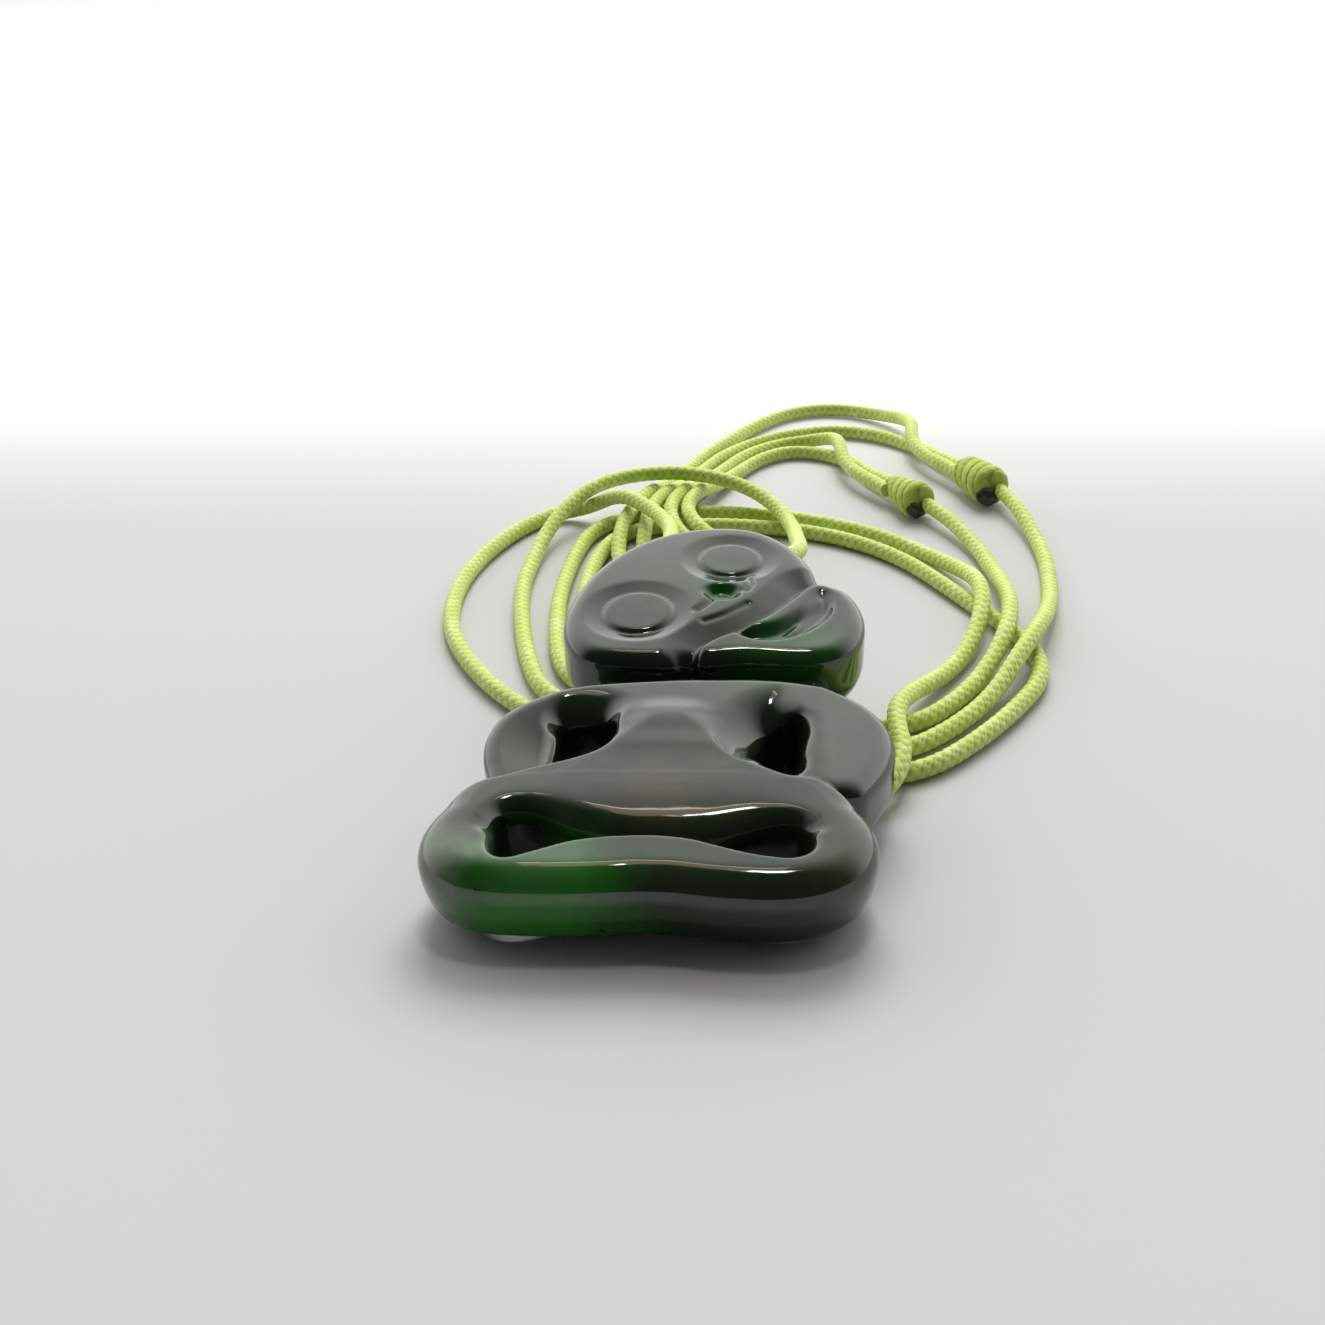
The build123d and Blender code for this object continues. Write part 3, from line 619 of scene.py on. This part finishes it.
dome = np.clip(1 - ((CHART_X - 5.1) / 15.3) ** 2 - ((CHART_Y - 48.0) / 14.0) ** 2, 0, 1)
head_top = stone_thick - 0.15 + dome_rise * dome - carved
head_edge = 1.7 + 0.2 * smooth_step(toward_crown, 38.0, 46.0)
print("charts of the face, deepest", carved.max())

# %% [markdown]
# The surface
#
# All charts are read smoothly between their places. The surface is where the signed distance
# from the stone is nothing: forms are joined with a soft fillet and cut with a round edge.

# %% Reading the charts
charts = [distance_chart(outline) for outline in (LEGS, TRUNK, SHOULDERS, HEAD)]
charts += [softened(distance_chart(outline)) for outline in (SLOT, LEFT_HOLE, RIGHT_HOLE)]
charts += [leg_edge, trunk_edge, slot_edge, arm_top, hole_edge, head_top, head_edge]
charts += [under_edge, body_top, leg_tuck]
charts = np.stack([chart.ravel() for chart in charts])


def read_charts(x, y):
    """All charts at these places, by a smooth cubic."""
    u, v = (x - chart_x[0]) / chart_step, (y - chart_y[0]) / chart_step
    i = np.clip(np.floor(u).astype(int), 1, len(chart_x) - 3)
    j = np.clip(np.floor(v).astype(int), 1, len(chart_y) - 3)

    def weights(f):
        return ((1 - f) ** 3 / 6, (3 * f**3 - 6 * f**2 + 4) / 6,
                (-3 * f**3 + 3 * f**2 + 3 * f + 1) / 6, f**3 / 6)

    across, along = weights(np.clip(u - i, 0, 1)), weights(np.clip(v - j, 0, 1))
    total = np.zeros((len(charts), len(x)))
    for b in range(4):
        row = (j + b - 1) * len(chart_x)
        for a in range(4):
            total += charts[:, row + i + a - 1] * (across[a] * along[b])
    return total


def cut_round(a, b, radius, power=2.0):
    """Inside both, with a round edge; a higher power starts its curve more gently."""
    u, v = np.maximum(a + radius, 0), np.maximum(b + radius, 0)
    edge = np.hypot(u, v) if power == 2.0 else (u**power + v**power) ** (1 / power)
    return np.minimum(np.maximum(a, b) + radius, 0) + edge - radius


def join_soft(a, b, width):
    """Inside either, with a soft fillet."""
    share = np.clip(0.5 + 0.5 * (b - a) / width, 0, 1)
    return b + (a - b) * share - width * share * (1 - share)


def block(x, y, z, middle, half, top):
    """Distance from an upright block without a floor, as its faces' planes give it."""
    across, along = np.abs(x - middle[0]) - half[0], np.abs(y - middle[1]) - half[1]
    return np.maximum(np.maximum(across, along), z - top)


BORE = [
    (0.05, 61.7), (2.2, 58.4), (5.2, 56.5), (7.2, 56.5), (9.4, 56.5), (11.8, 58.6),
    (13.7, 61.6),
]
bore_line = round_line(BORE, 8)
bore_radius, bore_height, bore_rim = 1.3, 4.3, 0.25
crown_start = 50


def bore_distance(x, y, z):
    """Distance from the middle of the tunnel through the crown."""
    nearest = np.full(len(x), very_far)
    for start, stop in zip(bore_line[:-1], bore_line[1:]):
        nearest = np.minimum(nearest, square_from(x, y, start, stop))
    return np.sqrt(nearest + (z - bore_height) ** 2)


def stone_distance(read, x, y, z):
    """Signed distance from the carved surface, from the charts read at these places."""
    (legs, trunk, shoulders, head, slot, left_hole, right_hole,
     leg_r, trunk_r, slot_r, arm_h, hole_r, head_h, head_r, under_r, body_h, tuck) = read
    tuck_height, arm_edge, hole_taper = 5.8, 1.7, 0.9
    # the leg bar and the trunk, the slot through them, and the web that closes its middle
    legs = legs + tuck * np.clip(tuck_height - z, 0, 6) ** 2
    low = cut_round(legs, z - body_h, leg_r, 2.1)
    low = join_soft(low, cut_round(trunk, z - body_h, trunk_r), 0.15)
    low = cut_round(low, -slot, slot_r, 2.6)
    low = join_soft(low, block(x, y, z, (2.0, 8.0), (4.5, 4.0), 3.8), 0.8)
    # the arms, with holes that narrow downwards
    arms = cut_round(shoulders, z - arm_h, arm_edge)
    taper = hole_taper * np.clip(1 - z / stone_thick, 0, 1)
    arms = cut_round(arms, -(left_hole + taper), hole_r)
    arms = cut_round(arms, -(right_hole + 2 * taper), hole_r)
    chest = smooth_step(y, 20.0, 24.0)
    body = join_soft(low, arms, 0.25 + 1.8 * chest)
    # the head, on a low neck
    face = cut_round(head, z - head_h, head_r)
    neck = block(x, y, z, (4.5, 33.1), (10.5, 3.4), 5.0)
    whole = join_soft(join_soft(body, face, 0.3), neck, 0.5)
    # the flat back, and the tunnel through the crown
    whole = cut_round(whole, -z, under_r)
    near_bore = y > crown_start
    bore = np.full(len(x), 9.0)
    bore[near_bore] = bore_distance(x[near_bore], y[near_bore], z[near_bore])
    return cut_round(whole, bore_radius - bore, bore_rim)


# %% [markdown]
# A skin for the surface
#
# Space is cut into small cubes. Each cube that the surface crosses gets one point, and each
# cube edge that it crosses gets one quad between the four cubes around it. Then the points
# slide a little, so that the quads are even, and are set exactly on the surface.

# %% Skin of the stone
skin_step = 0.275
skin_low = np.array([-21.0, -1.2, -0.9])
skin_high = np.array([23.6, 63.2, 10.0])
skin_count = np.ceil((skin_high - skin_low) / skin_step).astype(int)
grid_x, grid_y, grid_z = (skin_low[k] + skin_step * np.arange(skin_count[k]) for k in range(3))
layer_y, layer_x = (part.ravel() for part in np.meshgrid(grid_y, grid_x, indexing="ij"))
layer_read = read_charts(layer_x, layer_y)
space = np.stack([
    stone_distance(layer_read, layer_x, layer_y, np.full(len(layer_x), height))
    for height in grid_z
]).reshape(len(grid_z), len(grid_y), len(grid_x))
print("cubes", space.size)


def skin_of(space):
    """One point in each cube that the surface crosses, and the quads between them."""
    shape = np.array(space.shape) - 1
    corners = [(a, b, c) for a in (0, 1) for b in (0, 1) for c in (0, 1)]

    def part(offset):
        return space[tuple(slice(o, o + n) for o, n in zip(offset, shape))]

    total, hits = np.zeros((3, *shape)), np.zeros(shape)
    for start in corners:
        for axis in range(3):
            if start[axis] == 0:
                stop = tuple(1 if k == axis else start[k] for k in range(3))
                a, b = part(start), part(stop)
                crossed = (a < 0) != (b < 0)
                share = np.where(crossed, a / np.where(crossed, a - b, 1), 0)
                for k in range(3):
                    total[k] += np.where(crossed, start[k] + (share if k == axis else 0), 0)
                hits += crossed
    used = hits > 0
    number = np.full(shape, -1)
    number[used] = np.arange(used.sum())
    place = np.stack([total[k][used] / hits[used] for k in range(3)], 1)
    place = place + np.argwhere(used)
    quads = []
    for axis in range(3):
        one, two = (k for k in range(3) if k != axis)
        inner = [slice(1, n) for n in shape]
        inner[axis] = slice(0, shape[axis])
        after = list(inner)
        after[axis] = slice(1, shape[axis] + 1)
        a, b = space[tuple(inner)], space[tuple(after)]
        for rising in (True, False):
            spots = np.argwhere((a < 0) & (b >= 0) if rising else (a >= 0) & (b < 0))
            spots[:, one] += 1
            spots[:, two] += 1
            ring = []
            for back_one, back_two in ((1, 1), (0, 1), (0, 0), (1, 0)):
                cube = spots.copy()
                cube[:, one] -= back_one
                cube[:, two] -= back_two
                ring.append(number[tuple(cube.T)])
            ring = np.stack(ring, 1)
            outwards = rising == (axis == 1)
            quads.append(ring if outwards else ring[:, ::-1])
    return place[:, ::-1], np.concatenate(quads)


place, quads = skin_of(space)
local = skin_low + place * skin_step
print("skin", len(local), "points", len(quads), "quads")

# %% Settle the skin on the surface
lean = math.radians(7.0)
plane_origin = np.array([-1.35, -30.159, -0.2517])
plane_axes = np.array([
    [1, 0, 0],
    [0, math.cos(lean), math.sin(lean)],
    [0, -math.sin(lean), math.cos(lean)],
])
settle_rounds, slide_rounds = 6, 4
farthest_move = 0.2


def surface_at(local):
    """The signed distance and its slope at these points."""
    small = 0.02
    value = stone_distance(read_charts(local[:, 0], local[:, 1]), *local.T)
    grown = []
    for k in range(3):
        moved = local + small * np.eye(3)[k]
        grown.append(stone_distance(read_charts(moved[:, 0], moved[:, 1]), *moved.T) - value)
    return value, np.stack(grown, 1) / small


sides = np.concatenate([quads[:, [k, (k + 1) % 4]] for k in range(4)])
touching = np.bincount(sides[:, 0], minlength=len(local))[:, None]
for turn in range(settle_rounds):
    value, grown = surface_at(local)
    steep = np.maximum((grown**2).sum(1), 0.2)
    move = np.clip(-value / steep, -farthest_move, farthest_move)
    local = local + move[:, None] * grown
    if turn < slide_rounds:
        mean = np.stack([
            np.bincount(sides[:, 0], local[sides[:, 1], k], len(local)) for k in range(3)
        ], 1) / touching
        normal = grown / np.sqrt(steep)[:, None]
        shift = mean - local
        local = local + 0.5 * (shift - normal * (shift * normal).sum(1)[:, None])
print("before the last move the farthest point was", float(np.abs(value).max()), "mm off")
stone_points = (local @ plane_axes + plane_origin) * mm
stone = smooth_piece("tiki_stone", stone_points, quads.tolist())
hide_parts("tiki")
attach(stone, "root")

# %% [markdown]
# Shared finishes
#
# Spots of colour in the stone, most of them painted glow and light, and thread with painted
# shade in its grooves, are node groups: each material places one with its own values. They
# read Object coordinates or the braid attribute, so that the pattern stays on the piece.

# %% Node helpers
def new_group(name, inputs, outputs):
    """A shader node group with these sockets."""
    group = bpy.data.node_groups.new(name, "ShaderNodeTree")
    for label, kind, value in inputs:
        socket = group.interface.new_socket(label, in_out="INPUT", socket_type=kind)
        socket.default_value = value
    for label, kind in outputs:
        group.interface.new_socket(label, in_out="OUTPUT", socket_type=kind)
    return group, group.nodes.new("NodeGroupInput"), group.nodes.new("NodeGroupOutput")


def math_node(tree, operation, *values, clamp=False):
    """A math node on these sockets or numbers."""
    node = tree.nodes.new("ShaderNodeMath")
    node.operation = operation
    node.use_clamp = clamp
    for socket, value in zip(node.inputs, values):
        if isinstance(value, (int, float)):
            socket.default_value = value
        else:
            tree.links.new(value, socket)
    return node.outputs[0]


def ramp_between(tree, value, low, high):
    """Runs smoothly from 0 at low to 1 at high."""
    node = tree.nodes.new("ShaderNodeMapRange")
    node.interpolation_type = "SMOOTHSTEP"
    tree.links.new(value, node.inputs["Value"])
    node.inputs["From Min"].default_value = low
    node.inputs["From Max"].default_value = high
    return node.outputs["Result"]


def mix_colour(tree, share, first, second):
    """A mix of two colours, each a socket or a value."""
    node = tree.nodes.new("ShaderNodeMix")
    node.data_type = "RGBA"
    tree.links.new(share, node.inputs["Factor"])
    for socket, value in ((node.inputs[6], first), (node.inputs[7], second)):
        if isinstance(value, tuple):
            socket.default_value = value
        else:
            tree.links.new(value, socket)
    return node.outputs[2]


def object_noise(tree, scale, detail=3.0, roughness=0.55, distortion=0.0):
    """Noise on Object coordinates; the scale is in waves per metre."""
    place = tree.nodes.new("ShaderNodeTexCoord")
    noise = tree.nodes.new("ShaderNodeTexNoise")
    noise.inputs["Scale"].default_value = scale
    noise.inputs["Detail"].default_value = detail
    noise.inputs["Roughness"].default_value = roughness
    noise.inputs["Distortion"].default_value = distortion
    tree.links.new(place.outputs["Object"], noise.inputs["Vector"])
    return noise.outputs["Fac"]


def axes_of(tree, coordinates):
    """The X, Y and Z outputs of these texture coordinates."""
    place = tree.nodes.new("ShaderNodeTexCoord")
    axes = tree.nodes.new("ShaderNodeSeparateXYZ")
    tree.links.new(place.outputs[coordinates], axes.inputs["Vector"])
    return axes.outputs


def add_bump(tree, shader, height, strength, distance):
    """Lets this height tilt the surface; the distance is in metres."""
    bump = tree.nodes.new("ShaderNodeBump")
    bump.inputs["Strength"].default_value = strength
    bump.inputs["Distance"].default_value = distance
    tree.links.new(height, bump.inputs["Height"])
    tree.links.new(bump.outputs["Normal"], shader.inputs["Normal"])


# %% Spot of colour
def colour_spot_group():
    """A soft round spot: 1 within Reach of Middle, with an uneven edge."""
    group, given, result = new_group(
        "colour_spot",
        [("Middle", "NodeSocketVector", (0, 0, 0)), ("Reach", "NodeSocketFloat", 0.01),
         ("Edge", "NodeSocketFloat", 0.005)],
        [("Share", "NodeSocketFloat")],
    )
    place = group.nodes.new("ShaderNodeTexCoord")
    away = group.nodes.new("ShaderNodeVectorMath")
    away.operation = "DISTANCE"
    group.links.new(place.outputs["Object"], away.inputs[0])
    group.links.new(given.outputs["Middle"], away.inputs[1])
    cloud = object_noise(group, 160.0, 4.0)
    rough = math_node(group, "MULTIPLY", cloud, given.outputs["Edge"])
    far = math_node(group, "ADD", away.outputs["Value"], rough)
    outside = math_node(group, "SUBTRACT", far, given.outputs["Reach"])
    share = math_node(group, "DIVIDE", outside, given.outputs["Edge"], clamp=True)
    smooth = ramp_between(group, share, 1.0, 0.0)
    group.links.new(smooth, result.inputs["Share"])
    return group


colour_spot = colour_spot_group()


def spot(tree, middle, reach, edge):
    """Places the colour spot in a material; sizes in millimetres."""
    node = tree.nodes.new("ShaderNodeGroup")
    node.node_tree = colour_spot
    node.inputs["Middle"].default_value = tuple(value * mm for value in middle)
    node.inputs["Reach"].default_value = reach * mm
    node.inputs["Edge"].default_value = edge * mm
    return node.outputs["Share"]


# %% [markdown]
# Greenstone
#
# The stone is nearly black where it is thick. Where light comes through the real stone, as at
# the left end of the leg bar, in the slot and at the head's rim, spots of green stand for the
# glow. Its polish is clear: faint waves in the surface bend the reflections.

# %% Greenstone
def new_material(name, roughness):
    """A material, its node tree and its shader."""
    material = bpy.data.materials.new(name)
    material.use_nodes = True
    shader = material.node_tree.nodes["Principled BSDF"]
    shader.inputs["Roughness"].default_value = roughness
    return material, material.node_tree, shader


# middle, reach and soft edge in millimetres, and the colour. The green spots on the leg bar's
# front, at the slot's left end, at the chin and at the crown are painted glow; the pale
# grey-green spot on the bar's left end and the olive one on its right end are painted light
# from the bright room beside; the brown one on the belly and the green ones at the nose and
# mouth are spots of colour.
PAINTED_LIGHT_AND_TONE_SPOTS = [
    ((-10.0, -30.5, 3.4), 7.0, 8.0, (0.022, 0.190, 0.012, 1)),
    ((-3.0, -31.0, 3.0), 3.0, 6.0, (0.014, 0.085, 0.010, 1)),
    ((15.5, -26.0, 5.0), 4.0, 8.0, (0.040, 0.044, 0.018, 1)),
    ((-10.5, -26.5, 8.4), 3.5, 5.0, (0.045, 0.100, 0.040, 1)),
    ((-19.0, -25.0, 5.0), 3.5, 7.0, (0.160, 0.200, 0.140, 1)),
    ((-0.5, -19.0, 9.2), 3.2, 4.0, (0.034, 0.026, 0.010, 1)),
    ((4.6, 16.0, 13.2), 3.0, 7.0, (0.020, 0.055, 0.024, 1)),
    ((4.65, 14.9, 12.5), 2.1, 1.2, (0.006, 0.10, 0.010, 1)),
    ((4.0, 30.0, 12.0), 5.0, 7.0, (0.030, 0.060, 0.016, 1)),
    ((11.5, 3.6, 9.0), 6.0, 6.0, (0.014, 0.065, 0.010, 1)),
    ((9.5, 8.8, 12.2), 1.5, 2.5, (0.012, 0.075, 0.014, 1)),
    ((-7.0, 4.5, 8.0), 3.0, 5.0, (0.010, 0.045, 0.010, 1)),
]
greenstone, tree, shader = new_material("greenstone", 0.07)
shader.inputs["IOR"].default_value = 1.64
cloud = ramp_between(tree, object_noise(tree, 110.0, 5.0, 0.6, 0.4), 0.35, 0.68)
colour = mix_colour(tree, cloud, (0.006, 0.015, 0.0065, 1), (0.017, 0.028, 0.011, 1))
# each spot mixes its colour in: painted glow and painted light, and a few spots of colour
for middle, reach, edge, shade in PAINTED_LIGHT_AND_TONE_SPOTS:
    colour = mix_colour(tree, spot(tree, middle, reach, edge), colour, shade)
flecks = ramp_between(tree, object_noise(tree, 900.0, 2.0), 0.70, 0.76)
colour = mix_colour(tree, flecks, colour, (0.003, 0.004, 0.003, 1))
tree.links.new(colour, shader.inputs["Base Color"])
haze = math_node(tree, "MULTIPLY", object_noise(tree, 60.0, 2.0), 0.10)
tree.links.new(math_node(tree, "ADD", haze, 0.02), shader.inputs["Roughness"])
add_bump(tree, shader, object_noise(tree, 190.0, 2.0), 0.35, 0.0002)
stone.data.materials.append(greenstone)
print("greenstone nodes", len(tree.nodes))

# %% [markdown]
# Waxed thread
#
# The cord and the knots are the same lime thread. Its plaits catch the light, and the grooves
# between them are painted a darker olive as shade, darkest in the knots; wax and wear mottle
# it in places.

# %% Thread group
def waxed_thread_group():
    """Colour and bump height of waxed thread, from the braid attribute, with painted shade in the
    grooves.
    """
    group, given, result = new_group(
        "waxed_thread",
        [("Plait", "NodeSocketColor", (0.6, 0.7, 0.1, 1)),
         ("Groove shade", "NodeSocketColor", (0, 0, 0, 1)),
         ("Worn", "NodeSocketColor", (0.7, 0.8, 0.3, 1))],
        [("Colour", "NodeSocketColor"), ("Height", "NodeSocketFloat")],
    )
    braid = group.nodes.new("ShaderNodeAttribute")
    braid.attribute_name = "braid"
    fibre = object_noise(group, 5200.0, 2.0, 0.6)
    lifted = math_node(group, "MULTIPLY_ADD", fibre, 0.25, braid.outputs["Fac"])
    top = ramp_between(group, lifted, 0.30, 0.95)
    worn = ramp_between(group, object_noise(group, 420.0, 4.0, 0.65), 0.46, 0.68)
    lit = mix_colour(group, worn, given.outputs["Plait"], given.outputs["Worn"])
    # the grooves get the darker colour: painted shade
    colour = mix_colour(group, top, given.outputs["Groove shade"], lit)
    group.links.new(colour, result.inputs["Colour"])
    group.links.new(lifted, result.inputs["Height"])
    return group


waxed_thread = waxed_thread_group()


def thread_material(name, plait, groove_shade, worn, roughness):
    """Waxed thread with its own colours; the groove colour is painted shade."""
    material, tree, shader = new_material(name, roughness)
    thread = tree.nodes.new("ShaderNodeGroup")
    thread.node_tree = waxed_thread
    for label, value in (("Plait", plait), ("Groove shade", groove_shade), ("Worn", worn)):
        thread.inputs[label].default_value = value
    tree.links.new(thread.outputs["Colour"], shader.inputs["Base Color"])
    add_bump(tree, shader, thread.outputs["Height"], 0.5, 0.00008)
    return material


# each thread's second colour is the painted shade in its grooves
lime_cord = thread_material(
    "lime_cord", (0.55, 0.67, 0.14, 1), (0.31, 0.40, 0.06, 1), (0.66, 0.77, 0.25, 1), 0.5
)
lime_knot = thread_material(
    "lime_knot", (0.40, 0.50, 0.065, 1), (0.13, 0.18, 0.020, 1), (0.50, 0.60, 0.12, 1), 0.6
)
for piece in (cord_right, cord_left):
    piece.data.materials.append(lime_cord)
for piece in (outer_knot, inner_knot):
    piece.data.materials.append(lime_knot)

# %% Burnt thread
burnt_thread, tree, shader = new_material("burnt_thread", 0.42)
char = ramp_between(tree, object_noise(tree, 700.0, 3.0), 0.40, 0.70)
colour = mix_colour(tree, char, (0.010, 0.009, 0.006, 1), (0.055, 0.048, 0.022, 1))
tree.links.new(colour, shader.inputs["Base Color"])
for piece in (outer_tip, inner_tip):
    piece.data.materials.append(burnt_thread)

# %% [markdown]
# Floor and light
#
# The floor is plain and pale. Behind the figure its colour turns whiter and it glows a little:
# painted light, as a brightly lit studio sweep shows. The room is bright behind and beside the
# figure and dark behind the camera: the polished stone shows both, which is what tells its forms
# apart. Four soft lamps stand above and behind. A wide one gives the soft shadows and isn't
# mirrored in the stone; the three small ones are what the polish shows as warm and white streaks.

# %% Floor
floor_size = 4.0
fade_start, fade_end = 0.06, 0.20
bpy.ops.mesh.primitive_plane_add(size=floor_size)
floor = bpy.context.object
floor.name = "pale_floor"
floor_paint, tree, shader = new_material("pale_floor", 0.9)
# the floor's colour turns whiter and it glows towards the back: painted light
fade = ramp_between(tree, axes_of(tree, "Object")["Y"], fade_start, fade_end)
shade = mix_colour(tree, fade, (0.555, 0.55, 0.56, 1), (0.87, 0.86, 0.88, 1))
tree.links.new(shade, shader.inputs["Base Color"])
glow = mix_colour(tree, fade, (0.0, 0.0, 0.0, 1), (0.25, 0.25, 0.25, 1))
tree.links.new(glow, shader.inputs["Emission Color"])
shader.inputs["Emission Strength"].default_value = 1.0
shader.inputs["Specular IOR Level"].default_value = 0.2
floor.data.materials.append(floor_paint)

# %% Room light
beside_share = 0.53
room_bright, room_dark = 1.75, 0.045
world = bpy.data.worlds.new("studio_air")
world.use_nodes = True
tree = world.node_tree
axes = axes_of(tree, "Generated")
beside = math_node(tree, "ABSOLUTE", axes["X"])
beside = math_node(tree, "MULTIPLY", beside, beside_share)
behind = math_node(tree, "ADD", axes["Y"], beside)
bright = ramp_between(tree, behind, 0.04, 0.96)
strength = math_node(tree, "MULTIPLY", bright, room_bright)
air = tree.nodes["Background"]
air.inputs["Color"].default_value = (0.985, 1.0, 0.965, 1)
tree.links.new(math_node(tree, "ADD", strength, room_dark), air.inputs["Strength"])
bpy.context.scene.world = world


def lamp(name, place, size, energy, colour):
    """A soft lamp that faces the middle of the figure; its place and size are in metres."""
    bpy.ops.object.light_add(type="AREA", location=place)
    light = bpy.context.object
    light.name = name
    light.data.shape = "RECTANGLE"
    light.data.size, light.data.size_y = size
    light.data.energy = energy
    light.data.color = colour
    light.rotation_euler = (-Vector(place)).to_track_quat("-Z", "Y").to_euler()
    return light


soft_overhead = lamp("soft_overhead", (0.05, 0.74, 0.80), (0.6, 0.5), 8.2, (1.0, 1.0, 0.98))
soft_overhead.visible_glossy = False
warm_panel = lamp("warm_panel", (-0.03, 0.28, 1.04), (0.24, 0.30), 0.30, (1.0, 0.80, 0.58))
warm_strip = lamp("warm_strip", (-0.03, 0.40, 0.99), (0.24, 0.02), 0.13, (1.0, 0.86, 0.70))
white_lamp = lamp("white_lamp", (0.06, 0.14, 1.05), (0.15, 0.10), 1.3, (1.0, 1.0, 0.98))
print("lamps", soft_overhead.name, warm_panel.name, warm_strip.name, white_lamp.name)
